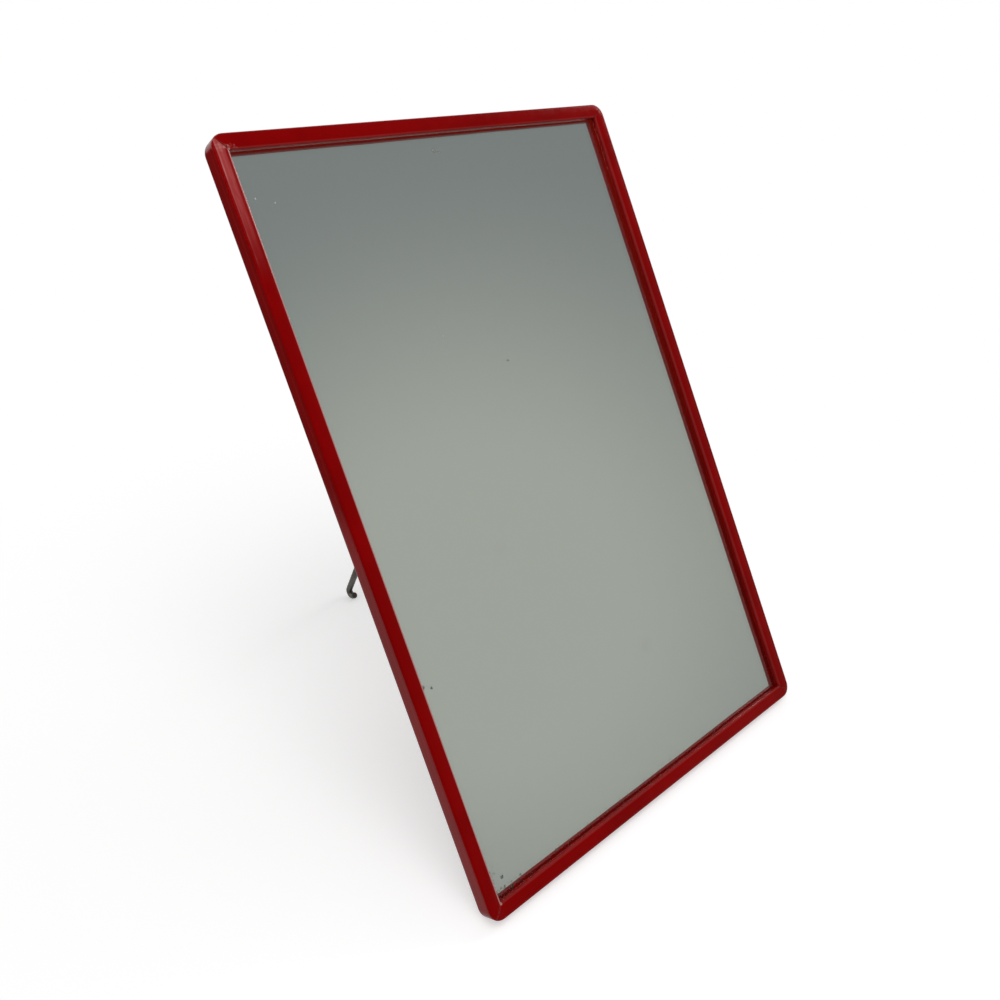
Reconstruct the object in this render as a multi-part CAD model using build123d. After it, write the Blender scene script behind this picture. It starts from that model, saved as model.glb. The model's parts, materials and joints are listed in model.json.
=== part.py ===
from build123d import *
from math import asin, atan2, cos, degrees, hypot, radians, sin
import os

# Table mirror: a folded plastic channel holds glass and a back board, a hinged wire stand leans it back.
# Millimetres. The mirror is drawn upright first: x right, y back from the rear rim, z up from its bottom.
# It is then leaned back, so that +X is right, +Y is back and +Z is up, with the floor at z = 0.

# Mirror and frame channel
WIDTH = 200.0
HEIGHT = 300.0
LEAN = 31.0
WALL = 1.4
FACE_WIDTH = 6.1
FACE_CREST = 2.4
FACE_DROP = 0.6
FACE_EDGE_R = 0.6
LIP = 2.8
SHOULDER_R = 0.9
CORNER_R = 5.5
REAR_FLANGE = 1.0
REAR_FLANGE_WIDTH = 8.0
REAR_EDGE_R = 2.2
MITRE_GAP = 0.15
MITRE_DEPTH = 1.2
NOTCH_GAP = 0.5
NOTCH_START = 1.0

# Sheets held in the channel, front to back
GLASS = 2.0
SILVER = 0.1
PAINT = 0.1
CARD = 1.4
BOARD = 1.5
STACK_CLEARANCE = 0.1
SHEET_CLEARANCE = 0.6
CLIP_CLEARANCE_SHARE = 0.75

# Wire stand
WIRE = 3.5
HINGE_UP = 226.0
FOOT_BACK = 205.5
BAR_HALF = 11.8
SPLAY = 1.0
TOP_BEND_R = 3.0
FOOT_BEND_R = 2.4
FOOT_TURN = 150.0
FOOT_TIP = 1.8
WIRE_END_R = 0.5
FOLD_CLEARANCE = 0.4

# Hinge fittings
SHEET_METAL = 0.8
BAR_CLEARANCE = 0.05
PLATE_HALF_HEIGHT = 11.0
PLATE_CORNER_R = 2.0
SADDLE_HALF = 8.2
SADDLE_HALF_HEIGHT = 9.6
SADDLE_CORNER_R = 1.5
SADDLE_FOOT_R = 0.6
PLATE_BEND_R = 0.6
EAR_SIDE_CLEARANCE = 0.7
EAR_TOP = 3.0
EAR_BOTTOM = 9.0
STOP_START = 4.6
STOP_LENGTH = 4.0
STOP_REACH = 1.0
STOP_GAP = 0.05

# Rivets and the plate inside
RIVET_HALF_X = 4.8
RIVET_HALF_Z = 6.4
RIVET_SHANK_R = 1.2
RIVET_HOLE_CLEARANCE = 0.05
RIVET_HEAD_R = 2.2
RIVET_HEAD = 1.1
RIVET_DOME_R = 0.88
RIVET_TAIL_R = 2.0
RIVET_TAIL = 0.5
INNER_PLATE = 0.4
INNER_PLATE_MARGIN = 3.6
CARD_WINDOW_CLEARANCE = 1.0

# Places that follow, measured back from the front crest
DEPTH = LIP + GLASS + SILVER + PAINT + CARD + BOARD + STACK_CLEARANCE + REAR_FLANGE
GLASS_FRONT = LIP - DEPTH
SILVER_FRONT = GLASS_FRONT + GLASS
PAINT_FRONT = SILVER_FRONT + SILVER
CARD_FRONT = PAINT_FRONT + PAINT
BOARD_FRONT = CARD_FRONT + CARD
BOARD_BACK = BOARD_FRONT + BOARD
BAR_HOLE_R = WIRE / 2 + BAR_CLEARANCE
AXIS_Y = BOARD_BACK + SHEET_METAL + BAR_HOLE_R

# Open, the feet stand on the floor FOOT_BACK behind the frame's rear lower edge, which sets the legs' length
SIN_LEAN = sin(radians(LEAN))
COS_LEAN = cos(radians(LEAN))
FLOOR_DROP = REAR_EDGE_R * (SIN_LEAN + COS_LEAN - 1)
AXIS_HEIGHT = HINGE_UP * COS_LEAN - AXIS_Y * SIN_LEAN - FLOOR_DROP
AXIS_BACK = HINGE_UP * SIN_LEAN + AXIS_Y * COS_LEAN
FOOT_DROP = AXIS_HEIGHT - FOOT_BEND_R - WIRE / 2
FOOT_REACH = FOOT_BACK - AXIS_BACK
LEG_IN_PLANE = (FOOT_DROP ** 2 + FOOT_REACH ** 2 - FOOT_BEND_R ** 2) ** 0.5
LEG = LEG_IN_PLANE / cos(radians(SPLAY))
LEG_ANGLE = degrees(atan2(FOOT_REACH, FOOT_DROP) + atan2(FOOT_BEND_R, LEG_IN_PLANE))
OPEN_ANGLE = LEAN + LEG_ANGLE

# Folded, the foot tips stop just behind the back board
FOOT_SWEEP = radians(FOOT_TURN)
TIP_REACH = FOOT_BEND_R * (1 - cos(FOOT_SWEEP)) + FOOT_TIP * sin(FOOT_SWEEP) + WIRE / 2
FOLDED_ANGLE = degrees(asin((TIP_REACH + FOLD_CLEARANCE - (AXIS_Y - BOARD_BACK)) / LEG_IN_PLANE))


def upright_plane(y):
    """A drawing plane at depth y whose local x is right and local y is up, facing the back."""
    return Plane(origin=(0, y, HEIGHT / 2), x_dir=(-1, 0, 0), z_dir=(0, 1, 0))


def slab(outline, front, thickness):
    """A flat outline, centred on the mirror, as a slab that runs back from depth front."""
    return extrude(upright_plane(front) * outline, amount=thickness)


def inset_outline(inset):
    """The mirror's rounded outline drawn in by inset."""
    size = (WIDTH - 2 * inset, HEIGHT - 2 * inset)
    return RectangleRounded(*size, CORNER_R - inset) if CORNER_R > inset else Rectangle(*size)


def corner_in(inset):
    """How far in from both outer edges the corner's 45 degree line meets the outline drawn in by inset."""
    return CORNER_R - (CORNER_R - inset) / 2 ** 0.5


def sheet_outline():
    """The cut size of glass, card and board, with corners clipped to clear the channel's folds."""
    rectangle = Rectangle(WIDTH - 2 * (WALL + SHEET_CLEARANCE), HEIGHT - 2 * (WALL + SHEET_CLEARANCE))
    fold_r = CORNER_R - WALL
    edge_r = fold_r - SHEET_CLEARANCE
    clear_r = fold_r - SHEET_CLEARANCE * CLIP_CLEARANCE_SHARE
    return chamfer(rectangle.vertices(), edge_r - (clear_r ** 2 - edge_r ** 2) ** 0.5)


def at_hinge(x, out, up):
    """A point near the hinge: out is measured back from the board, up from the bar's axis."""
    return (x, BOARD_BACK + out, HINGE_UP + up)


def hinge_box(half_width, out, thickness, half_height, corner_r):
    """A flat plate centred on the hinge, with rounded corners."""
    plane = Plane(origin=at_hinge(0, out, 0), x_dir=(-1, 0, 0), z_dir=(0, 1, 0))
    return extrude(plane * RectangleRounded(2 * half_width, 2 * half_height, corner_r), amount=thickness)


def side_profile(points, half_width):
    """A closed (out, up) outline at the hinge, extruded equally to both sides along x."""
    corners = [at_hinge(-half_width, out, up) for out, up in points]
    return extrude(Face(Polyline(*corners, close=True).wire()), amount=2 * half_width, dir=(1, 0, 0))


def rod_back(x, up, radius, out, length):
    """A round bar that runs back from the board side, at a place beside the hinge."""
    plane = Plane(origin=at_hinge(x, out, up), x_dir=(-1, 0, 0), z_dir=(0, 1, 0))
    return extrude(plane * Circle(radius), amount=length)


def rivet_places():
    return [(side * RIVET_HALF_X, level * RIVET_HALF_Z) for side in (-1, 1) for level in (-1, 1)]


def drill_rivet_holes(body, out, length):
    """Cut the rivets' holes through a body that lies between out and out + length."""
    for x, up in rivet_places():
        body -= rod_back(x, up, RIVET_SHANK_R + RIVET_HOLE_CLEARANCE, out, length)
    return body


def lip_section():
    """The mitred inner part of the front lip: a = distance from the outer edge, c = depth."""
    run = FACE_WIDTH - FACE_CREST
    radius = (run ** 2 + FACE_DROP ** 2) / (2 * FACE_DROP)
    half_turn = asin(run / radius) / 2
    middle = (FACE_CREST + radius * sin(half_turn), radius * (1 - cos(half_turn)) - DEPTH)
    inner_top = (FACE_WIDTH, FACE_DROP - DEPTH)
    edges = [
        Line((WALL, GLASS_FRONT), (WALL, -DEPTH)),
        Line((WALL, -DEPTH), (FACE_CREST, -DEPTH)),
        ThreePointArc((FACE_CREST, -DEPTH), middle, inner_top),
        Line(inner_top, (FACE_WIDTH, GLASS_FRONT)),
        Line((FACE_WIDTH, GLASS_FRONT), (WALL, GLASS_FRONT)),
    ]
    face = make_face(Curve() + edges)
    corner = face.vertices().sort_by_distance((*inner_top, 0))[0]
    return fillet(corner, FACE_EDGE_R)


def lip_rail(length, turn):
    """One side of the lip, cut at its ends along the mitres, turned about the mirror's centre."""
    reach = (WIDTH if turn % 180 else HEIGHT) / 2
    plane = Plane(origin=(length / 2, 0, -reach), x_dir=(0, 0, 1), z_dir=(-1, 0, 0))
    rail = extrude(plane * lip_section(), amount=length)
    mitre = Polyline(
        (-length / 2, -2 * DEPTH, -reach),
        (length / 2, -2 * DEPTH, -reach),
        (length / 2 - FACE_WIDTH, -2 * DEPTH, FACE_WIDTH - reach),
        (FACE_WIDTH - length / 2, -2 * DEPTH, FACE_WIDTH - reach),
        close=True,
    )
    rail &= extrude(Face(mitre.wire()), amount=2 * DEPTH, dir=(0, 1, 0))
    return Pos(0, 0, HEIGHT / 2) * (Rot(0, turn, 0) * rail)


def corner_slit(side, level, start, end, width, front, depth):
    """A narrow slot along one corner's 45 degree line, from start to end in from the outer edges."""
    across = 2 ** 0.5 * (end - start)
    middle = (start + end) / 2
    place = Pos(side * (WIDTH / 2 - middle), front + depth / 2, HEIGHT / 2 + level * (HEIGHT / 2 - middle))
    return place * (Rot(0, side * level * -45, 0) * Box(across, depth, width))


def make_frame_channel():
    """The red channel: outer web, front lip and rear flange, notched and folded at four corners."""
    outer = slab(inset_outline(0), -DEPTH, DEPTH)
    outer = fillet(outer.edges().group_by(Axis.Y)[0], SHOULDER_R)
    outer = fillet(outer.edges().group_by(Axis.Y)[-1], REAR_EDGE_R)
    body = outer - slab(inset_outline(FACE_CREST), -DEPTH, LIP)
    for turn in (0, 90, 180, 270):
        body += lip_rail(HEIGHT if turn % 180 else WIDTH, turn) & outer
    body -= slab(inset_outline(WALL), GLASS_FRONT, DEPTH - LIP - REAR_FLANGE)
    rear_width = WIDTH - 2 * REAR_FLANGE_WIDTH
    rear_height = HEIGHT - 2 * REAR_FLANGE_WIDTH
    body -= slab(Rectangle(rear_width, rear_height), -REAR_FLANGE, REAR_FLANGE)
    web_inside = corner_in(WALL)
    notch_start = web_inside + NOTCH_START
    notch_end = REAR_FLANGE_WIDTH + NOTCH_GAP
    for side in (-1, 1):
        for level in (-1, 1):
            body -= corner_slit(side, level, web_inside, FACE_WIDTH + WALL, MITRE_GAP, -DEPTH, MITRE_DEPTH)
            body -= corner_slit(side, level, notch_start, notch_end, NOTCH_GAP, -REAR_FLANGE, REAR_FLANGE)
    return body


def make_card_packing():
    """The card between the glass and the board, with a window round the hinge's inner plate."""
    card = slab(sheet_outline(), CARD_FRONT, CARD)
    half_width = RIVET_HALF_X + INNER_PLATE_MARGIN + CARD_WINDOW_CLEARANCE
    half_height = RIVET_HALF_Z + INNER_PLATE_MARGIN + CARD_WINDOW_CLEARANCE
    return card - hinge_box(half_width, -BOARD - CARD, CARD, half_height, CARD_WINDOW_CLEARANCE)


def make_back_board():
    return drill_rivet_holes(slab(sheet_outline(), BOARD_FRONT, BOARD), -BOARD, BOARD)


def make_inner_plate():
    """The tin plate behind the board that spreads the rivets' pull."""
    half_width = RIVET_HALF_X + INNER_PLATE_MARGIN
    half_height = RIVET_HALF_Z + INNER_PLATE_MARGIN
    plate = hinge_box(half_width, -BOARD - INNER_PLATE, INNER_PLATE, half_height, PLATE_CORNER_R)
    return drill_rivet_holes(plate, -BOARD - INNER_PLATE, INNER_PLATE)


def stop_point(along, off):
    """A point beside the open leg: along it from the bar's axis, and off its centre line, upwards."""
    angle = radians(OPEN_ANGLE)
    out = AXIS_Y - BOARD_BACK + along * sin(angle) + off * cos(angle)
    up = -along * cos(angle) + off * sin(angle)
    return (out, up)


def make_hinge_plate():
    """The plate under the bar, with two ears whose bent lips stop the legs when the stand is open."""
    leg_out = (STOP_START + STOP_LENGTH) * sin(radians(SPLAY))
    ear_inside = BAR_HALF + leg_out + WIRE / 2 + EAR_SIDE_CLEARANCE
    half_width = ear_inside + SHEET_METAL
    plate = hinge_box(half_width, 0, SHEET_METAL, PLATE_HALF_HEIGHT, PLATE_CORNER_R)
    under = WIRE / 2 + STOP_GAP
    over = under + SHEET_METAL
    stop_end = STOP_START + STOP_LENGTH
    blade = [
        (0, EAR_TOP),
        (0, -EAR_BOTTOM),
        stop_point(stop_end, under),
        stop_point(stop_end, over),
        stop_point(STOP_START, over),
    ]
    ears = side_profile(blade, half_width) - side_profile(blade, ear_inside)
    lip = [
        stop_point(STOP_START, under),
        stop_point(stop_end, under),
        stop_point(stop_end, over),
        stop_point(STOP_START, over),
    ]
    lips = side_profile(lip, half_width) - side_profile(lip, BAR_HALF - STOP_REACH)
    body = plate + ears + lips
    bends = body.edges().filter_by(Axis.Z).group_by(Axis.Y)[0]
    return drill_rivet_holes(fillet(bends, PLATE_BEND_R), 0, SHEET_METAL)


def make_hinge_saddle():
    """The pressed strap that holds the bar down on the plate."""
    outer_r = BAR_HOLE_R + SHEET_METAL
    axis_out = AXIS_Y - BOARD_BACK
    strap = hinge_box(SADDLE_HALF, SHEET_METAL, SHEET_METAL, SADDLE_HALF_HEIGHT, SADDLE_CORNER_R)
    barrel_plane = Plane(origin=at_hinge(-SADDLE_HALF, axis_out, 0), x_dir=(0, 1, 0), z_dir=(1, 0, 0))
    floor = SHEET_METAL - axis_out
    for radius, cutting in ((outer_r, False), (BAR_HOLE_R, True)):
        arch = Circle(radius) + Pos(floor / 2, 0) * Rectangle(-floor, 2 * radius)
        arch &= Pos(radius + floor, 0) * Rectangle(2 * radius, 2 * radius)
        tunnel = extrude(barrel_plane * arch, amount=2 * SADDLE_HALF)
        strap = strap - tunnel if cutting else strap + tunnel
    creases = [at_hinge(0, 2 * SHEET_METAL, side * outer_r) for side in (-1, 1)]
    strap = fillet([strap.edges().sort_by_distance(crease)[0] for crease in creases], SADDLE_FOOT_R)
    return drill_rivet_holes(strap, SHEET_METAL, SHEET_METAL)


def make_rivet(x, up):
    """A rivet with a domed head outside and a clenched tail inside."""
    grip = 2 * SHEET_METAL + BOARD + INNER_PLATE
    head_out = 2 * SHEET_METAL
    disc = rod_back(x, up, RIVET_HEAD_R, head_out, RIVET_HEAD)
    head = fillet(disc.edges().group_by(Axis.Y)[-1], RIVET_DOME_R)
    shank = rod_back(x, up, RIVET_SHANK_R, head_out - grip, grip)
    tail = rod_back(x, up, RIVET_TAIL_R, head_out - grip - RIVET_TAIL, RIVET_TAIL)
    return head + shank + tail


def stand_point(side, along, toward, across):
    """A point of the open stand: along the leg plane from the bar, toward the mirror, and across."""
    angle = radians(OPEN_ANGLE)
    y = AXIS_Y + along * sin(angle) - toward * cos(angle)
    z = HINGE_UP - along * cos(angle) - toward * sin(angle)
    return (side * across, y, z)


def leg_edges(side):
    """Centre line of one half of the wire, from the foot's tip to the end of the bar's bend."""
    lean_out = radians(SPLAY)
    ahead = (sin(lean_out), cos(lean_out))
    bend_half = radians(90 + SPLAY) / 2
    setback = TOP_BEND_R * sin(radians(90) - bend_half) / sin(bend_half)

    def foot(turn, extra=0.0):
        forward = FOOT_BEND_R * sin(turn) + extra * cos(turn)
        toward = FOOT_BEND_R * (1 - cos(turn)) + extra * sin(turn)
        reach = LEG + forward
        return stand_point(side, reach * ahead[1], toward, BAR_HALF + reach * ahead[0])

    leg_top = stand_point(side, setback * ahead[1], 0, BAR_HALF + setback * ahead[0])
    bar_end = stand_point(side, 0, 0, BAR_HALF - setback)
    chord = ((setback * ahead[1]) / 2, (2 * BAR_HALF - setback + setback * ahead[0]) / 2)
    centre = (TOP_BEND_R, BAR_HALF - setback)
    out_from_centre = (chord[0] - centre[0], chord[1] - centre[1])
    scale = TOP_BEND_R / hypot(*out_from_centre)
    bend_middle = stand_point(side, centre[0] + out_from_centre[0] * scale, 0,
                              centre[1] + out_from_centre[1] * scale)
    return [
        Line(foot(FOOT_SWEEP, FOOT_TIP), foot(FOOT_SWEEP)),
        ThreePointArc(foot(FOOT_SWEEP), foot(FOOT_SWEEP / 2), foot(0)),
        Line(foot(0), leg_top),
        ThreePointArc(leg_top, bend_middle, bar_end),
    ]


def make_wire_stand():
    """One length of wire: foot, leg, hinge bar, leg and foot."""
    left = leg_edges(-1)
    right = leg_edges(1)
    bar = Line(left[-1] @ 1, right[-1] @ 1)
    path = Wire([*[part.edge() for part in left], bar.edge(), *[part.edge() for part in right]])
    start = left[0]
    section = Plane(origin=start @ 0, z_dir=start % 0) * Circle(WIRE / 2)
    wire = sweep(section, path=path)
    ends = wire.faces().filter_by(GeomType.PLANE)
    return fillet(ends.edges(), WIRE_END_R)


def place(body):
    """Lean the upright mirror back and set it on the floor, midway between front and feet."""
    front_low = -(DEPTH - SHOULDER_R) * COS_LEAN + SHOULDER_R * SIN_LEAN - SHOULDER_R
    foot_centre = stand_point(0, LEG_IN_PLANE, FOOT_BEND_R, 0)
    rear = foot_centre[1] * COS_LEAN + foot_centre[2] * SIN_LEAN + FOOT_BEND_R + WIRE / 2
    return Pos(0, -(front_low + rear) / 2, -FLOOR_DROP) * (Rot(-LEAN, 0, 0) * body)


nodes = {
    "frame_channel": make_frame_channel(),
    "mirror_glass": slab(sheet_outline(), GLASS_FRONT, GLASS),
    "silver_film": slab(sheet_outline(), SILVER_FRONT, SILVER),
    "backing_paint": slab(sheet_outline(), PAINT_FRONT, PAINT),
    "card_packing": make_card_packing(),
    "back_board": make_back_board(),
    "inner_plate": make_inner_plate(),
    "hinge_plate": make_hinge_plate(),
    "hinge_saddle": make_hinge_saddle(),
    "hinge_rivets": Compound([make_rivet(x, up).solid() for x, up in rivet_places()]),
    "wire_stand": make_wire_stand(),
}

os.makedirs("parts", exist_ok=True)
for name, body in nodes.items():
    export_step(place(body), f"parts/{name}.step")

for label, spot in (
    ("hinge axis", (0, AXIS_Y, HINGE_UP)),
    ("bottom face", (0, (SHOULDER_R - REAR_EDGE_R - DEPTH) / 2, 0)),
    ("back rim", (0, 0, HEIGHT - (REAR_EDGE_R + REAR_FLANGE_WIDTH) / 2)),
):
    print(label, place(Vertex(*spot)).center())
print("leg", round(LEG, 2), "from the vertical", round(LEG_ANGLE, 2), "open", round(OPEN_ANGLE, 2))
print("travel to fold", round(OPEN_ANGLE - FOLDED_ANGLE, 2))
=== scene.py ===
import bpy
import bmesh
import json
from math import asin, cos, degrees, radians, sin
from mathutils import Matrix, Vector, noise


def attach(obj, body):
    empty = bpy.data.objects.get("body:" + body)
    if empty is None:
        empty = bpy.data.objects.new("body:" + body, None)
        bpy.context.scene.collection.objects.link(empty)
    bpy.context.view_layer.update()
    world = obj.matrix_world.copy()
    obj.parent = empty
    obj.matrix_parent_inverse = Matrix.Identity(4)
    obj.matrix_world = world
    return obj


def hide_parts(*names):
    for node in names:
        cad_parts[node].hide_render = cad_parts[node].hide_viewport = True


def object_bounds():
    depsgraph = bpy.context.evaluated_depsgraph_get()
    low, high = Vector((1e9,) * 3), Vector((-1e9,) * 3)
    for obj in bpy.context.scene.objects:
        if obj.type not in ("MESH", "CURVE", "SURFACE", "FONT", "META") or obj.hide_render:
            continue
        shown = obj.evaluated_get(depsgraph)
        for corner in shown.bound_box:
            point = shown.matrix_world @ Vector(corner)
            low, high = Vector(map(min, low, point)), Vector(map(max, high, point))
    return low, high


# Looks of a table mirror: red plastic channel, back-silvered glass, hardboard back, steel wire stand.
# Objects are in metres in the part's frame, where the mirror leans back. Upright millimetres are its own,
# before it leans: x to the right, y back from the rear rim, z up from the bottom edge.
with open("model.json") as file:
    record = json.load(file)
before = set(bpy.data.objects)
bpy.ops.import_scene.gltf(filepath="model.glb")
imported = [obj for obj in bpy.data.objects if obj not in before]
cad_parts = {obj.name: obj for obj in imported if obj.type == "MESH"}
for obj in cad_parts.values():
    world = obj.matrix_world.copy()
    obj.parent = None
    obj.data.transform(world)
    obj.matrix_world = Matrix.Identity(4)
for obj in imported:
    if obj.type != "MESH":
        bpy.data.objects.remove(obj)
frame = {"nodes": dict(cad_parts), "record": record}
cad_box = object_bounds()
NODES = frame["nodes"]
MM = 0.001


# The upright frame, worked out from the two flat faces that the record gives

def read_upright():
    """The matrix from the upright mirror's frame to the part's, its origin and its lean in radians."""
    faces = {mount["name"]: mount for mount in frame["record"]["mounts"]}
    back = Vector(faces["back_rim"]["axis"]).normalized()
    down = Vector(faces["bottom_face"]["axis"]).normalized()
    origin = back * back.dot(Vector(faces["back_rim"]["pos_m"]))
    origin += down * down.dot(Vector(faces["bottom_face"]["pos_m"]))
    lean = asin(-back.z)
    return Matrix.Translation(origin) @ Matrix.Rotation(-lean, 4, "X"), origin, lean


UPRIGHT, ORIGIN, LEAN = read_upright()


def upright_box(node):
    """The lowest and highest corners of a CAD node in upright millimetres."""
    back = UPRIGHT.inverted()
    points = [back @ vertex.co / MM for vertex in NODES[node].data.vertices]
    low = Vector([min(point[axis] for point in points) for axis in range(3)])
    high = Vector([max(point[axis] for point in points) for axis in range(3)])
    return low, high


FRAME_LOW, FRAME_HIGH = upright_box("frame_channel")
GLASS_LOW, GLASS_HIGH = upright_box("mirror_glass")
HALF_WIDTH = FRAME_HIGH.x
HEIGHT = FRAME_HIGH.z
DEPTH = -FRAME_LOW.y

# The channel, section sizes in millimetres as the real strip has them
WALL = 1.4
FACE_CREST = 2.4
FACE_WIDTH = 6.1
FACE_DROP = 0.6
FACE_EDGE_R = 0.6
SHOULDER_R = 0.9
CORNER_R = 5.5
REAR_FLANGE = 1.0
REAR_FLANGE_WIDTH = 8.0
REAR_EDGE_R = 2.2
THIN_EDGE_R = 0.2


# Shader helpers

def new_material(name):
    material = bpy.data.materials.new(name)
    material.use_nodes = True
    material.node_tree.nodes.clear()
    return material, material.node_tree


def add(tree, kind, inputs=None, **settings):
    """A shader node. Its inputs are values, or outputs of other nodes."""
    made = tree.nodes.new("ShaderNode" + kind)
    for key, value in settings.items():
        setattr(made, key, value)
    for key, value in (inputs or {}).items():
        if isinstance(value, bpy.types.NodeSocket):
            tree.links.new(value, made.inputs[key])
        else:
            made.inputs[key].default_value = value
    return made


def calc(tree, operation, a, b=0.0):
    return add(tree, "Math", {0: a, 1: b}, operation=operation).outputs[0]


def product(tree, first, *others):
    """The factors multiplied together."""
    result = first
    for other in others:
        result = calc(tree, "MULTIPLY", result, other)
    return result


def total(tree, first, *others):
    """The terms added together."""
    result = first
    for other in others:
        result = calc(tree, "ADD", result, other)
    return result


def blend_range(tree, value, low, high, to_low=0.0, to_high=1.0):
    """Value eased from to_low at low to to_high at high."""
    inputs = {"Value": value, "From Min": low, "From Max": high, "To Min": to_low, "To Max": to_high}
    return add(tree, "MapRange", inputs, interpolation_type="SMOOTHSTEP").outputs["Result"]


def band(tree, value, rise, fall):
    """A mask between two eased borders, each given as its clear end and its full end."""
    return product(tree, blend_range(tree, value, *rise), blend_range(tree, value, *fall))


def mix_colour(tree, factor, a, b):
    made = add(tree, "Mix", {0: factor}, data_type="RGBA", clamp_factor=True)
    for index, value in ((6, a), (7, b)):
        if isinstance(value, bpy.types.NodeSocket):
            tree.links.new(value, made.inputs[index])
        else:
            made.inputs[index].default_value = (*value, 1.0)
    return made.outputs[2]


def upright_place(tree):
    """The point's place in upright millimetres, at rest."""
    place = add(tree, "TexCoord").outputs["Object"]
    inputs = {"Vector": place, "Location": ORIGIN, "Rotation": (-LEAN, 0, 0), "Scale": (MM, MM, MM)}
    return add(tree, "Mapping", inputs, vector_type="TEXTURE").outputs["Vector"]


def split(tree, vector):
    return add(tree, "SeparateXYZ", {0: vector}).outputs


def noise_at(tree, place, scale, detail=3.0, roughness=0.5, stretch=(1, 1, 1)):
    """Noise with scale in features per millimetre."""
    spread = add(tree, "Mapping", {"Vector": place, "Scale": stretch}).outputs["Vector"]
    inputs = {"Vector": spread, "Scale": scale, "Detail": detail, "Roughness": roughness}
    return add(tree, "TexNoise", inputs).outputs["Fac"]


def surface(tree, bump=None, bump_depth=0.0, **inputs):
    """A Principled shader on the output, with an optional bump in metres."""
    shader = add(tree, "BsdfPrincipled")
    for key, value in inputs.items():
        socket = shader.inputs[key.replace("_", " ")]
        if isinstance(value, bpy.types.NodeSocket):
            tree.links.new(value, socket)
        elif isinstance(value, tuple):
            socket.default_value = (*value, 1.0)
        else:
            socket.default_value = value
    if bump is not None:
        normal = add(tree, "Bump", {"Height": bump, "Distance": bump_depth, "Strength": 1.0})
        tree.links.new(normal.outputs[0], shader.inputs["Normal"])
    show(tree, shader)


def show(tree, shader, output="OutputMaterial"):
    """The shader on the tree's output."""
    add(tree, output, {"Surface": shader.outputs[0]})


def outer_inset(tree, parts):
    """How far a point lies in from the frame's outer edges, and how far off a mitre, in millimetres."""
    from_side = calc(tree, "SUBTRACT", HALF_WIDTH, calc(tree, "ABSOLUTE", parts["X"]))
    from_middle = calc(tree, "ABSOLUTE", calc(tree, "SUBTRACT", parts["Z"], HEIGHT / 2))
    from_end = calc(tree, "SUBTRACT", HEIGHT / 2, from_middle)
    off_mitre = calc(tree, "ABSOLUTE", calc(tree, "SUBTRACT", from_side, from_end))
    return calc(tree, "MINIMUM", from_side, from_end), off_mitre


def spot(tree, place, x, z, radius, soft=0.5):
    """A round mask about a point of the upright mirror, 1 inside, eased to 0 over a share of its radius."""
    flat = add(tree, "VectorMath", {0: place, 1: (1, 0, 1)}, operation="MULTIPLY").outputs[0]
    away = add(tree, "VectorMath", {0: flat, 1: (x, 0, z)}, operation="DISTANCE").outputs["Value"]
    return blend_range(tree, away, radius, radius * (1 - soft))


def ragged(tree, place, scale, reach):
    """The place pushed about by noise, so that a mask read there has a torn edge."""
    drift = add(tree, "TexNoise", {"Vector": place, "Scale": scale}).outputs["Color"]
    centred = add(tree, "VectorMath", {0: drift, 1: (0.5, 0.5, 0.5)}, operation="SUBTRACT").outputs[0]
    pushed = add(tree, "VectorMath", {0: centred, "Scale": reach}, operation="SCALE").outputs[0]
    return add(tree, "VectorMath", {0: place, 1: pushed}, operation="ADD").outputs[0]


def strongest(tree, masks):
    """The largest of several masks."""
    result = masks[0]
    for mask in masks[1:]:
        result = calc(tree, "MAXIMUM", result, mask)
    return result


# Materials

RED = (0.262, 0.0008, 0.0012)
RED_DEEP = (0.225, 0.0007, 0.0011)
# A pinkish painted highlight colour for the upper face of the left rail
RED_PAINTED_HIGHLIGHT = (0.44, 0.07, 0.07)
# Stress-whitened plastic, and also the colour of the painted highlights on the left rail's ridge and along
# the inner edges
RED_WHITENING_AND_HIGHLIGHT = (0.60, 0.30, 0.28)
RED_GRIME = (0.03, 0.001, 0.001)
# The left rail's stretch of painted highlight, in millimetres below the top: where it fades out, and where
# it is full
HIGHLIGHT_FADES = 56
HIGHLIGHT_FULL = 10
# The painted highlight band and the brighter painted highlight along the rail's ridge, in millimetres in
# from the left edge
HIGHLIGHT_BORDERS = ((1.0, 1.25), (5.0, 3.4))
RIDGE_HIGHLIGHT_BORDERS = ((0.95, 1.15), (1.8, 1.4))
# Whitened spots near the top left corner: millimetres in from the left edge, down from the top, and radius
WHITENED_SPOTS = ((2.4, 5.0, 1.9), (4.4, 4.9, 1.2), (6.4, 4.9, 1.2), (8.6, 5.3, 0.8))
SPOT_WHITE = 0.6
MITRE_WHITE = 0.12
GRIME_SHARE = 0.55


def front_mask(tree, parts, clear, full):
    """A mask over the frame's front, from two depths in millimetres behind its foremost plane."""
    return blend_range(tree, parts["Y"], clear - DEPTH, full - DEPTH)


def left_rail_masks(tree, parts, front):
    """The distance in from the left edge, the left rail's front, and its stretch of painted highlight up to
    the mitre.
    """
    from_left = calc(tree, "ADD", parts["X"], HALF_WIDTH)
    rail = product(tree, blend_range(tree, from_left, FACE_WIDTH + 0.5, FACE_WIDTH + 0.1), front)
    past_mitre = calc(tree, "SUBTRACT", calc(tree, "SUBTRACT", HEIGHT, parts["Z"]), from_left)
    below_mitre = blend_range(tree, past_mitre, -0.3, 0.5)
    upper = blend_range(tree, parts["Z"], HEIGHT - HIGHLIGHT_FADES, HEIGHT - HIGHLIGHT_FULL)
    return from_left, rail, product(tree, rail, below_mitre, upper)


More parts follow.
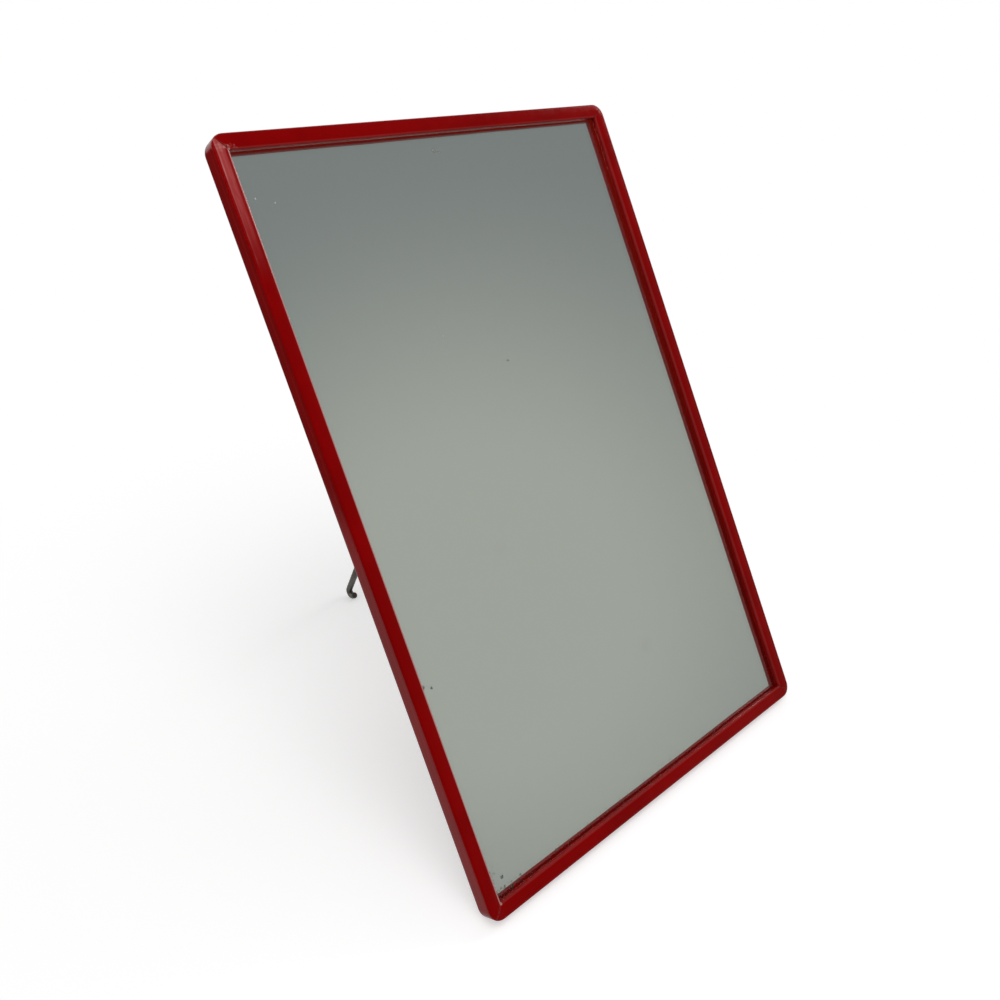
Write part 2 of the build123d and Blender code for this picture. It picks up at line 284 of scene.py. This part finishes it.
def whitening(tree, place, off_mitre, front):
    """Faintly stress-whitened mitres, and torn white spots near the top left corner."""
    torn = noise_at(tree, place, 1.1, detail=4.0)
    mitres = product(tree, blend_range(tree, off_mitre, 0.75, 0.05), MITRE_WHITE, front)
    torn_place = ragged(tree, place, 0.9, 3.2)
    spots = [spot(tree, torn_place, across - HALF_WIDTH, HEIGHT - down, radius, soft=0.8)
             for across, down, radius in WHITENED_SPOTS]
    patch = product(tree, strongest(tree, spots), front, SPOT_WHITE)
    white = calc(tree, "MAXIMUM", mitres, patch)
    return product(tree, white, blend_range(tree, torn, 0.40, 0.64, 0.25, 0.85))


def make_red_plastic():
    """Glossy red plastic: faint mottle, whitened folds, painted highlights on the left rail and along the
    inner edges, fine scratches.
    """
    material, tree = new_material("frame_plastic")
    place = upright_place(tree)
    parts = split(tree, place)
    inset, off_mitre = outer_inset(tree, parts)
    front = front_mask(tree, parts, 2.0, 0.6)
    from_left, left_rail, highlight_stretch = left_rail_masks(tree, parts, front)
    shade = mix_colour(tree, blend_range(tree, noise_at(tree, place, 0.05), 0.35, 0.65), RED_DEEP, RED)

    # A painted highlight on the upper face of the left rail, broken up by streaks
    streaks = blend_range(tree, noise_at(tree, place, 1.4, stretch=(1, 1, 0.12)), 0.42, 0.68)
    highlight_streaks = blend_range(tree, streaks, 0.0, 1.0, 0.7, 1.0)
    painted_highlight = product(tree, highlight_stretch, band(tree, from_left, *HIGHLIGHT_BORDERS), highlight_streaks)
    shade = mix_colour(tree, painted_highlight, shade, RED_PAINTED_HIGHLIGHT)
    # A painted highlight along the left rail's ridge, in the whitened colour, broken up by the same streaks
    ridge_streaks = blend_range(tree, streaks, 0.0, 1.0, 0.12, 0.34)
    ridge_highlight = product(tree, highlight_stretch, band(tree, from_left, *RIDGE_HIGHLIGHT_BORDERS), ridge_streaks)
    shade = mix_colour(tree, ridge_highlight, shade, RED_WHITENING_AND_HIGHLIGHT)

    white = whitening(tree, place, off_mitre, front)
    # A painted highlight along the inner edge of the face, strongest on the left rail, laid on in the same
    # colour as the real whitening
    inner_edge_band = blend_range(tree, inset, FACE_WIDTH - 0.9, FACE_WIDTH - 0.4)
    most_on_left = blend_range(tree, left_rail, 0.0, 1.0, 0.06, 0.9)
    painted_edge_glint = product(tree, inner_edge_band, front_mask(tree, parts, 1.6, 1.2), most_on_left)
    shade = mix_colour(tree, calc(tree, "MAXIMUM", white, painted_edge_glint), shade, RED_WHITENING_AND_HIGHLIGHT)
    grime = product(tree, blend_range(tree, off_mitre, 0.16, 0.02), front, GRIME_SHARE)
    shade = mix_colour(tree, grime, shade, RED_GRIME)

    # A faint glow stands in for light that soaks through the lip and reddens its underside
    off_underside = calc(tree, "ABSOLUTE", calc(tree, "SUBTRACT", parts["Y"], GLASS_LOW.y))
    under = blend_range(tree, off_underside, 0.16, 0.08)
    soaked = product(tree, under, blend_range(tree, parts["Z"], 0, HEIGHT, 0.05, 0.11))

    rough = blend_range(tree, noise_at(tree, place, 0.3), 0.3, 0.7, 0.13, 0.20)
    rough = total(tree, rough, product(tree, calc(tree, "MAXIMUM", white, painted_highlight), 0.25))
    scratches = blend_range(tree, noise_at(tree, place, 2.2, detail=1.0, stretch=(1, 1, 0.04)), 0.70, 0.78)
    peel = calc(tree, "SUBTRACT", noise_at(tree, place, 0.5, detail=1.0), product(tree, scratches, 0.3))
    surface(tree, peel, 0.000010, Base_Color=shade, Roughness=rough, Specular_IOR_Level=0.18,
            Specular_Tint=(1.0, 0.10, 0.10), Emission_Color=(1.0, 0.04, 0.02), Emission_Strength=soaked)
    return material


GLASS_CLEAR = (0.975, 0.987, 0.978)
GLASS_GREEN = (0.955, 0.978, 0.962)


def make_glass():
    """Clear soda glass, a little greener towards its edges, with a faint film of wiped dust."""
    material, tree = new_material("glass")
    place = upright_place(tree)
    inset, _ = outer_inset(tree, split(tree, place))
    tint = mix_colour(tree, blend_range(tree, inset, 16, 3), GLASS_CLEAR, GLASS_GREEN)
    wiped = noise_at(tree, place, 0.03, stretch=(1, 1, 0.3))
    rough = blend_range(tree, wiped, 0.55, 0.75, 0.0, 0.006)
    surface(tree, Base_Color=tint, Roughness=rough, IOR=1.52, Transmission_Weight=1.0)
    return material


# Flaws of the silvering: x and z in upright millimetres, and radius
DARK_SPECKS = ((-2.1, 197.7, 0.55), (-3.4, 287.6, 1.0), (-1.1, 286.9, 0.7), (-92.2, 91.8, 1.1),
               (-88.7, 90.1, 0.6), (-87.7, 12.4, 0.9), (-85.0, 6.9, 1.1), (-60.5, 7.6, 0.6),
               (38.0, 233.0, 0.4))
PALE_SPECKS = ((-88.8, 277.3, 0.45), (-81.7, 275.0, 0.4), (-30.0, 214.0, 0.35))
SMUDGES = ((20.2, 59.9, 5.0), (-38.0, 127.0, 4.0))
SILVER_CLEAN = (0.905, 0.910, 0.905)
SILVER_TARNISH = (0.30, 0.29, 0.26)
# The lower left corner, where most silver is gone: x, z and radius
EATEN_CORNER = (-93.0, 7.0, 26.0)


def make_silvering():
    """The silver film: almost perfect, with specks, two smudges and a tarnished lower rim."""
    material, tree = new_material("silvering")
    place = upright_place(tree)
    parts = split(tree, place)
    torn_place = ragged(tree, place, 1.1, 1.0)
    dark = strongest(tree, [spot(tree, torn_place, *speck) for speck in DARK_SPECKS])
    smudge = strongest(tree, [spot(tree, place, *smear, soft=0.9) for smear in SMUDGES])
    inset, _ = outer_inset(tree, parts)
    low = blend_range(tree, parts["Z"], 60, 6, 0.0, 0.10)
    corner = product(tree, spot(tree, place, *EATEN_CORNER, soft=0.9), 0.08)
    reach = blend_range(tree, inset, 13.0, 6.5, -0.10, 0.06)
    eaten = total(tree, noise_at(tree, place, 0.75, detail=5.0, roughness=0.65), low, corner, reach)
    rim = blend_range(tree, eaten, 0.72, 0.80)
    mask = strongest(tree, [dark, product(tree, smudge, 0.05), product(tree, rim, 0.8)])
    shade = mix_colour(tree, mask, SILVER_CLEAN, SILVER_TARNISH)
    pale = strongest(tree, [spot(tree, place, *speck) for speck in PALE_SPECKS])
    rough = product(tree, calc(tree, "MAXIMUM", mask, pale), 0.35)
    surface(tree, Base_Color=shade, Roughness=rough, Metallic=1.0)
    return material


def make_backing_paint():
    """Grey protective paint, rolled on, with thin streaks."""
    material, tree = new_material("backing_paint")
    place = upright_place(tree)
    streaks = noise_at(tree, place, 0.4, stretch=(1, 1, 0.08))
    shade = mix_colour(tree, streaks, (0.075, 0.080, 0.085), (0.12, 0.125, 0.13))
    surface(tree, streaks, 0.00003, Base_Color=shade, Roughness=0.7, Specular_IOR_Level=0.3)
    return material


def make_card():
    """Grey-brown packing card with pressed fibres."""
    material, tree = new_material("card")
    place = upright_place(tree)
    fibres = noise_at(tree, place, 1.6, detail=6.0, stretch=(1, 1, 0.25))
    shade = mix_colour(tree, fibres, (0.20, 0.13, 0.07), (0.32, 0.22, 0.13))
    surface(tree, fibres, 0.00005, Base_Color=shade, Roughness=0.95, Specular_IOR_Level=0.2)
    return material


# Where the folded stand's feet rub the board, in upright millimetres
FOOT_RUB_X = 15.5
FOOT_RUB_Z = 14.0
FOOT_RUB_R = 5.0


def make_hardboard():
    """Smooth tempered hardboard: pressed dark flecks, long fibres, worn round the stand's feet."""
    material, tree = new_material("hardboard")
    place = upright_place(tree)
    cloud = noise_at(tree, place, 0.035, detail=4.0)
    fleck = noise_at(tree, place, 1.3, detail=5.0, roughness=0.65)
    fibre = blend_range(tree, noise_at(tree, place, 1.8, detail=3.0, stretch=(1, 1, 0.16)), 0.56, 0.70)
    tone = blend_range(tree, cloud, 0.2, 0.8)
    shade = mix_colour(tree, tone, (0.118, 0.052, 0.022), (0.158, 0.074, 0.033))
    shade = mix_colour(tree, blend_range(tree, fleck, 0.56, 0.70), shade, (0.045, 0.018, 0.008))
    shade = mix_colour(tree, product(tree, fibre, 0.5), shade, (0.26, 0.145, 0.075))
    rubs = [spot(tree, place, side * FOOT_RUB_X, FOOT_RUB_Z, FOOT_RUB_R, soft=0.9) for side in (-1, 1)]
    rub = product(tree, strongest(tree, rubs), blend_range(tree, fleck, 0.35, 0.6), 0.55)
    shade = mix_colour(tree, rub, shade, (0.30, 0.19, 0.11))
    height = total(tree, fleck, product(tree, fibre, 0.4))
    rough = blend_range(tree, fleck, 0.3, 0.7, 0.42, 0.62)
    surface(tree, height, 0.00004, Base_Color=shade, Roughness=rough, Specular_IOR_Level=0.35)
    return material


def make_hinge_steel():
    """Pressed zinc-plated steel: pale, brushed along the strip, dull in patches, rust specks."""
    material, tree = new_material("hinge_steel")
    place = upright_place(tree)
    brushed = noise_at(tree, place, 3.0, detail=2.0, stretch=(0.05, 1, 1))
    dull = noise_at(tree, place, 0.35, detail=4.0)
    shade = mix_colour(tree, blend_range(tree, dull, 0.35, 0.65), (0.34, 0.35, 0.36), (0.50, 0.50, 0.48))
    rust = blend_range(tree, noise_at(tree, place, 0.9, detail=5.0, roughness=0.7), 0.64, 0.74)
    shade = mix_colour(tree, product(tree, rust, 0.7), shade, (0.15, 0.055, 0.02))
    rough = total(tree, blend_range(tree, dull, 0.3, 0.7, 0.28, 0.46), product(tree, rust, 0.3))
    bare = calc(tree, "SUBTRACT", 1.0, product(tree, rust, 0.6))
    surface(tree, brushed, 0.000008, Base_Color=shade, Roughness=rough, Metallic=bare)
    return material


def make_rivet_metal():
    """Bright rivets with hammer marks on their heads."""
    material, tree = new_material("rivet_metal")
    place = upright_place(tree)
    dents = noise_at(tree, place, 1.6, detail=2.0)
    shade = mix_colour(tree, dents, (0.52, 0.52, 0.51), (0.74, 0.74, 0.72))
    rough = blend_range(tree, noise_at(tree, place, 0.8), 0.3, 0.7, 0.25, 0.42)
    surface(tree, dents, 0.00005, Base_Color=shade, Roughness=rough, Metallic=1.0)
    return material


def make_wire_steel():
    """Old drawn wire: dark grey-brown patina, paler where it is worn, drawn lines along it."""
    material, tree = new_material("wire_steel")
    place = upright_place(tree)
    patina = noise_at(tree, place, 0.16, detail=5.0, roughness=0.6, stretch=(1, 0.35, 0.35))
    drawn = noise_at(tree, place, 2.4, detail=2.0, stretch=(1, 0.1, 0.06))
    tone = blend_range(tree, patina, 0.30, 0.72)
    shade = mix_colour(tree, tone, (0.115, 0.105, 0.092), (0.20, 0.188, 0.17))
    shade = mix_colour(tree, blend_range(tree, drawn, 0.56, 0.72, 0.0, 0.6), shade, (0.34, 0.32, 0.29))
    pits = blend_range(tree, noise_at(tree, place, 1.1, detail=4.0, roughness=0.7), 0.66, 0.76)
    shade = mix_colour(tree, product(tree, pits, 0.6), shade, (0.07, 0.04, 0.025))
    rough = blend_range(tree, patina, 0.3, 0.7, 0.50, 0.36)
    surface(tree, drawn, 0.00001, Base_Color=shade, Roughness=rough, Metallic=0.85)
    return material


MATERIALS = {
    "frame_plastic": make_red_plastic(),
    "glass": make_glass(),
    "silvering": make_silvering(),
    "backing_paint": make_backing_paint(),
    "card": make_card(),
    "hardboard": make_hardboard(),
    "hinge_steel": make_hinge_steel(),
    "rivet_metal": make_rivet_metal(),
    "wire_steel": make_wire_steel(),
}


def dress_cad_nodes():
    slots = {part["node"]: part["material_slot"] for part in frame["record"]["subparts"]}
    for name, node in NODES.items():
        node.data.materials.clear()
        node.data.materials.append(MATERIALS[slots[name]])


dress_cad_nodes()


# Pieces

def mesh_object(name, built, material):
    """An object from a bmesh, with one material."""
    mesh = bpy.data.meshes.new(name)
    built.to_mesh(mesh)
    built.free()
    made = bpy.data.objects.new(name, mesh)
    bpy.context.scene.collection.objects.link(made)
    mesh.materials.append(material)
    return made


def make_piece(name, built, body, slot):
    """A piece of the mirror that rides on a body and has its slot's material."""
    piece = mesh_object(name, built, MATERIALS[slot])
    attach(piece, body)
    return piece


def upright_vertex(built, x, y, z):
    """A new vertex at a place in upright millimetres."""
    return built.verts.new(UPRIGHT @ (Vector((x, y, z)) * MM))


# The pane in millimetres: its gap to lip and silver, clipped corners, seamed edges
GLASS_CLEARANCE = 0.03
GLASS_CORNER = 1.6
GLASS_SEAM = 0.25
# Edges that turn by more than this, in radians, are seamed
SEAMED_TURN = 1.2


def make_glass_pane():
    """The pane with a seamed edge, a hair clear of the lip before it and the silver behind it."""
    half_wide = (GLASS_HIGH.x - GLASS_LOW.x) / 2
    half_high = (GLASS_HIGH.z - GLASS_LOW.z) / 2
    centre_z = (GLASS_HIGH.z + GLASS_LOW.z) / 2
    outline = []
    for sx, sz in ((1, 1), (-1, 1), (-1, -1), (1, -1)):
        on_end = (sx * (half_wide - GLASS_CORNER), centre_z + sz * half_high)
        on_side = (sx * half_wide, centre_z + sz * (half_high - GLASS_CORNER))
        outline += (on_side, on_end) if sx * sz > 0 else (on_end, on_side)
    built = bmesh.new()
    depths = (GLASS_LOW.y + GLASS_CLEARANCE, GLASS_HIGH.y - GLASS_CLEARANCE)
    front, back = [[upright_vertex(built, x, y, z) for x, z in outline] for y in depths]
    built.faces.new(front)
    built.faces.new(back[::-1])
    for i in range(len(outline)):
        j = (i + 1) % len(outline)
        built.faces.new((front[i], back[i], back[j], front[j]))
    bmesh.ops.recalc_face_normals(built, faces=built.faces)
    edges = [edge for edge in built.edges if edge.calc_face_angle(0) > SEAMED_TURN]
    bmesh.ops.bevel(built, geom=edges, offset=GLASS_SEAM * MM, segments=2, affect="EDGES", profile=0.5)
    pane = make_piece("glass_pane", built, "mirror", "glass")
    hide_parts("mirror_glass")
    pane.visible_shadow = False


make_glass_pane()


# What folding by hand leaves on the channel, in millimetres: a groove down each mitre in a slightly swollen
# face, a notch at the rear of each mitre, and waves in the lip and the web
GROOVE_FULL = FACE_CREST + 0.6
MITRE_DEPTH = 0.28
MITRE_HALF = 0.13
FOLD_BULGE = 0.10
BULGE_CREST = 0.3
BULGE_REACH = 2.6
NOTCH_START = CORNER_R
NOTCH_HALF = 0.26
NOTCH_SOFT = 0.02
NOTCH_DEPTH = 0.85
LIP_WAVE = 0.16
WEB_WAVE = 0.09
WAVE_START = 3.0
WAVE_FULL = 16.0
# Two layers of noise wave a rail: features per millimetre, the layer's place, and its strength
WAVE_LAYERS = ((0.021, 1.7, 1.0), (0.06, 4.1, 0.5))
RAIL_APART = 7.3
# Where a rail has points: turns round the outer corner in degrees, steps past it, and steps on from there
CORNER_TURNS = (45, 44, 42.5, 40, 35, 26, 13, 0)
MITRE_STEPS = (0.10, 0.20, 0.34, 0.40, 0.9, 2.2)
STATION_STEP = 4.0
# Points this near are merged, and edges this short are dissolved, in millimetres
MERGE_GAP = 0.004
SLIVER = 0.002
# Edges that turn by this much or more, in degrees, are shaded sharp
SHARP_ANGLE = 32


def arc(centre, radius, start, end, steps):
    """Points on a circle from one angle to another, in degrees."""
    turns = [radians(start + (end - start) * step / steps) for step in range(steps + 1)]
    return [(centre[0] + radius * cos(turn), centre[1] + radius * sin(turn)) for turn in turns]


def line(start, end, steps):
    """Points between two ends, without the ends."""
    shares = [step / steps for step in range(1, steps)]
    return [tuple(a + (b - a) * share for a, b in zip(start, end)) for share in shares]


def channel_section():
    """The closed section: a = distance in from the outer edge, c = depth, from the rear round the front."""
    points = arc((REAR_EDGE_R, -REAR_EDGE_R), REAR_EDGE_R, 90, 180, 8)
    points += line(points[-1], (0, SHOULDER_R - DEPTH), 5)
    points += arc((SHOULDER_R, SHOULDER_R - DEPTH), SHOULDER_R, 180, 270, 7)
    run = FACE_WIDTH - FACE_CREST
    crown = (run ** 2 + FACE_DROP ** 2) / (2 * FACE_DROP)
    edge_a = FACE_WIDTH - FACE_EDGE_R
    edge_c = crown - DEPTH - ((crown - FACE_EDGE_R) ** 2 - (edge_a - FACE_CREST) ** 2) ** 0.5
    tangent = degrees(asin((edge_a - FACE_CREST) / (crown - FACE_EDGE_R)))
    points += line(points[-1], (FACE_CREST, -DEPTH), 3)
    points += arc((FACE_CREST, crown - DEPTH), crown, 270, 270 + tangent, 7)
    points += arc((edge_a, edge_c), FACE_EDGE_R, 270 + tangent, 360, 6)[1:]
    lip_foot = (FACE_WIDTH - THIN_EDGE_R, GLASS_LOW.y - THIN_EDGE_R)
    points += line(points[-1], (FACE_WIDTH, lip_foot[1]), 2)
    points += arc(lip_foot, THIN_EDGE_R, 0, 90, 3)
    points += [(WALL, GLASS_LOW.y), (WALL, -REAR_FLANGE)]
    tongue = (REAR_FLANGE_WIDTH - THIN_EDGE_R, -THIN_EDGE_R)
    points += [(REAR_FLANGE_WIDTH, -REAR_FLANGE)]
    points += arc(tongue, THIN_EDGE_R, 0, 90, 3)
    points += line(points[-1], (REAR_EDGE_R, 0), 5)
    return points


def rail_stations(length, inset):
    """(along, in) places of one section point down a rail, from one corner's mitre to the next."""
    start = max(inset, CORNER_R)
    radius = max(CORNER_R - inset, 0.0)
    half_corner = [radians(turn) for turn in CORNER_TURNS]
    head = [(start - radius * sin(turn), start - radius * cos(turn)) for turn in half_corner]
    head += [(start + step, inset) for step in MITRE_STEPS]
    tail = [(length - along, deep) for along, deep in head[::-1]]
    count = int(length / STATION_STEP)
    run = tail[0][0] - head[-1][0]
    return head + [(head[-1][0] + run * step / count, inset) for step in range(1, count)] + tail


def ease(value, low, high):
    """From 0 at low to 1 at high, smoothly."""
    share = min(max((value - low) / (high - low), 0.0), 1.0)
    return share * share * (3 - 2 * share)


def shape_by_hand(rail, length, along, deep, inset, depth):
    """A section point's distance in and depth, after what folding by hand does to them."""
    off_mitre = min(abs(along - deep), abs(length - along - deep)) / 2 ** 0.5
    if depth < GLASS_LOW.y - THIN_EDGE_R:
        on_face = ease(inset, SHOULDER_R, GROOVE_FULL)
        swelling = ease(off_mitre, 0.0, BULGE_CREST) * (1 - ease(off_mitre, BULGE_CREST, BULGE_REACH))
        depth += on_face * MITRE_DEPTH * (1 - ease(off_mitre, 0.0, MITRE_HALF))
        depth -= on_face * FOLD_BULGE * swelling
    if depth > -REAR_FLANGE / 2 and inset > NOTCH_START:
        depth -= NOTCH_DEPTH * (1 - ease(off_mitre, NOTCH_HALF - NOTCH_SOFT, NOTCH_HALF + NOTCH_SOFT))
    away = ease(off_mitre, WAVE_START, WAVE_FULL)
    bend = sum(strength * noise.noise(Vector((along * scale, rail * RAIL_APART, layer)))
               for scale, layer, strength in WAVE_LAYERS)
    on_lip = ease(inset, FACE_CREST, FACE_WIDTH) if depth < GLASS_LOW.y + 0.1 else 0.0
    on_web = 1.0 - ease(inset, 0.0, SHOULDER_R)
    hump = 1 - ((depth + DEPTH / 2) / (DEPTH / 2)) ** 2
    deep += away * bend * (LIP_WAVE * on_lip + WEB_WAVE * on_web * hump)
    return deep, depth


def make_channel():
    """The folded red channel, swept round its mitred outline."""
    built = bmesh.new()
    section = channel_section()
    width = 2 * HALF_WIDTH
    rails = (
        (width, lambda along, deep: (along - HALF_WIDTH, deep)),
        (HEIGHT, lambda along, deep: (HALF_WIDTH - deep, along)),
        (width, lambda along, deep: (HALF_WIDTH - along, HEIGHT - deep)),
        (HEIGHT, lambda along, deep: (deep - HALF_WIDTH, HEIGHT - along)),
    )
    for rail, (length, spread) in enumerate(rails):
        rows = []
        for inset, depth in section:
            row = []
            for along, deep in rail_stations(length, inset):
                deep_now, depth_now = shape_by_hand(rail, length, along, deep, inset, depth)
                x, z = spread(along, deep_now)
                row.append(upright_vertex(built, x, depth_now, z))
            rows.append(row)
        for i, row in enumerate(rows):
            following = rows[(i + 1) % len(rows)]
            for j in range(len(row) - 1):
                built.faces.new((row[j], row[j + 1], following[j + 1], following[j]))
    bmesh.ops.remove_doubles(built, verts=built.verts, dist=MERGE_GAP * MM)
    bmesh.ops.dissolve_degenerate(built, edges=built.edges, dist=SLIVER * MM)
    bmesh.ops.recalc_face_normals(built, faces=built.faces)
    for face in built.faces:
        face.smooth = True
    for edge in built.edges:
        edge.smooth = edge.calc_face_angle(0) < radians(SHARP_ANGLE)
    channel = make_piece("frame_strip", built, "mirror", "frame_plastic")
    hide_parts("frame_channel")


make_channel()


# Stage: floor, a dim room that only reflections see, lamps and camera

# The floor in metres: its half side, where its shadow starts to fade to white, and where it is white
FLOOR_HALF = 14.0
SHADOW_NEAR = 0.10
SHADOW_FAR = 0.36
FLOOR_COLOUR = (0.80, 0.80, 0.80, 1)
FLOOR_LIFT = 0.46
WHITE = (1, 1, 1, 1)
# What gloss shows there: a round white sheet, its radius and soft edge in metres, on the floor of a dim room
SHEET_RADIUS = 0.225
SHEET_SOFT = 0.12
SHEET_WHITE = (0.55, 0.55, 0.55)
ROOM_FLOOR = (0.07, 0.07, 0.068)


def mix_shader(tree, factor, first, second):
    return add(tree, "MixShader", {"Fac": factor, 1: first.outputs[0], 2: second.outputs[0]})


def make_floor():
    """A white floor that keeps the soft shadow. Gloss shows a white sheet on the dim floor of a room."""
    material, tree = new_material("stage_floor")
    diffuse = add(tree, "BsdfDiffuse", {"Color": FLOOR_COLOUR})
    lifted = add(tree, "Emission", {"Color": WHITE, "Strength": FLOOR_LIFT})
    near = add(tree, "AddShader", {0: diffuse.outputs[0], 1: lifted.outputs[0]})
    place = add(tree, "TexCoord").outputs["Object"]
    away = add(tree, "VectorMath", {0: place}, operation="LENGTH").outputs["Value"]
    white = add(tree, "Emission", {"Color": WHITE, "Strength": 1.0})
    shown = mix_shader(tree, blend_range(tree, away, SHADOW_NEAR, SHADOW_FAR), near, white)
    path = add(tree, "LightPath").outputs
    looked_at = calc(tree, "MAXIMUM", path["Is Camera Ray"], path["Is Transmission Ray"])
    seen = mix_shader(tree, looked_at, diffuse, shown)
    off_sheet = blend_range(tree, away, SHEET_RADIUS, SHEET_RADIUS + SHEET_SOFT)
    sheet = mix_colour(tree, off_sheet, SHEET_WHITE, ROOM_FLOOR)
    mirrored = add(tree, "Emission", {"Color": sheet, "Strength": 1.0})
    show(tree, mix_shader(tree, path["Is Glossy Ray"], seen, mirrored))
    built = bmesh.new()
    bmesh.ops.create_grid(built, x_segments=1, y_segments=1, size=FLOOR_HALF)
    floor = mesh_object("stage_floor", built, material)


# The room in metres: the radius of its shell, and how far behind the mirror the shell ends
ROOM_RADIUS = 6.0
ROOM_BACK = 0.2 * ROOM_RADIUS
# The glow in degrees: its direction, where it fades out, and its even core
GLOW_ELEVATION = 16.0
GLOW_AZIMUTH = 34.0
GLOW_SPREAD = 30.0
GLOW_CORE = 8.0
ROOM_DIM = (0.220, 0.238, 0.234)
ROOM_GLOW = (0.398, 0.412, 0.377)


def heading(azimuth, elevation):
    """The unit vector at an azimuth right of the front and an elevation above the horizon."""
    flat = cos(radians(elevation))
    return Vector((sin(radians(azimuth)) * flat, -cos(radians(azimuth)) * flat, sin(radians(elevation))))


def make_room():
    """A room in front of the mirror that only reflections see: dim, with a soft glow to the right."""
    material, tree = new_material("stage_room")
    place = add(tree, "TexCoord").outputs["Object"]
    direction = add(tree, "VectorMath", {0: place}, operation="NORMALIZE").outputs["Vector"]
    toward = {0: direction, 1: heading(GLOW_AZIMUTH, GLOW_ELEVATION)}
    nearness = add(tree, "VectorMath", toward, operation="DOT_PRODUCT").outputs["Value"]
    away = calc(tree, "MULTIPLY", calc(tree, "ARCCOSINE", nearness), degrees(1))
    glow = blend_range(tree, away, GLOW_SPREAD, GLOW_CORE)
    show(tree, add(tree, "Emission", {"Color": mix_colour(tree, glow, ROOM_DIM, ROOM_GLOW)}))
    built = bmesh.new()
    bmesh.ops.create_uvsphere(built, u_segments=64, v_segments=32, radius=ROOM_RADIUS)
    behind = [vertex for vertex in built.verts if vertex.co.y > ROOM_BACK]
    bmesh.ops.delete(built, geom=behind, context="VERTS")
    room = mesh_object("stage_room", built, material)
    room.visible_camera = False
    room.visible_diffuse = False
    room.visible_shadow = False
    room.visible_volume_scatter = False


SKY_LIGHT = 0.46


def make_world():
    """White wherever it is seen, and a plain soft light on the object."""
    world = bpy.data.worlds.new("studio")
    bpy.context.scene.world = world
    world.use_nodes = True
    tree = world.node_tree
    tree.nodes.clear()
    path = add(tree, "LightPath").outputs
    seen = strongest(tree, [path["Is Camera Ray"], path["Is Glossy Ray"], path["Is Transmission Ray"]])
    strength = blend_range(tree, seen, 0.0, 1.0, SKY_LIGHT, 1.0)
    background = add(tree, "Background", {"Color": WHITE, "Strength": strength})
    show(tree, background, "OutputWorld")


# Azimuth and elevation in degrees, distance and side in metres, power in watts
LAMPS = {"key_lamp": (-30, 62, 0.8, 0.5, 2.1), "side_lamp": (80, 34, 1.2, 0.35, 1.6)}


def make_lamp(name, azimuth, elevation, distance, size, power):
    """A square soft lamp that faces the object's middle."""
    data = bpy.data.lights.new(name, "AREA")
    data.size = size
    data.energy = power
    lamp = bpy.data.objects.new(name, data)
    bpy.context.scene.collection.objects.link(lamp)
    middle = Vector((0, 0, (cad_box[0].z + cad_box[1].z) / 2))
    away = heading(azimuth, elevation)
    lamp.location = middle + away * distance
    lamp.rotation_euler = away.to_track_quat("Z", "Y").to_euler()


# Place, aim and nearest distance in metres, roll in degrees, lens and sensor in millimetres
CAMERA_PLACE = (-0.25589, -0.26818, 0.30602)
CAMERA_AIM = (-0.01687, -0.01714, 0.11556)
CAMERA_NEAREST = 0.01
CAMERA_ROLL = 1.782
CAMERA_LENS = 33.32
CAMERA_SENSOR = 36.0


def make_camera():
    """The camera at the photograph's viewing angle."""
    data = bpy.data.cameras.new("camera")
    data.lens = CAMERA_LENS
    data.sensor_width = CAMERA_SENSOR
    data.clip_start = CAMERA_NEAREST
    camera = bpy.data.objects.new("camera", data)
    bpy.context.scene.collection.objects.link(camera)
    toward = Vector(CAMERA_AIM) - Vector(CAMERA_PLACE)
    turn = toward.to_track_quat("-Z", "Y").to_matrix() @ Matrix.Rotation(radians(CAMERA_ROLL), 3, "Z")
    camera.matrix_world = Matrix.Translation(CAMERA_PLACE) @ turn.to_4x4()
    bpy.context.scene.camera = camera


make_floor()
make_room()
make_world()
for lamp_name, lamp_settings in LAMPS.items():
    make_lamp(lamp_name, *lamp_settings)
make_camera()
bpy.context.scene.view_settings.view_transform = "Standard"
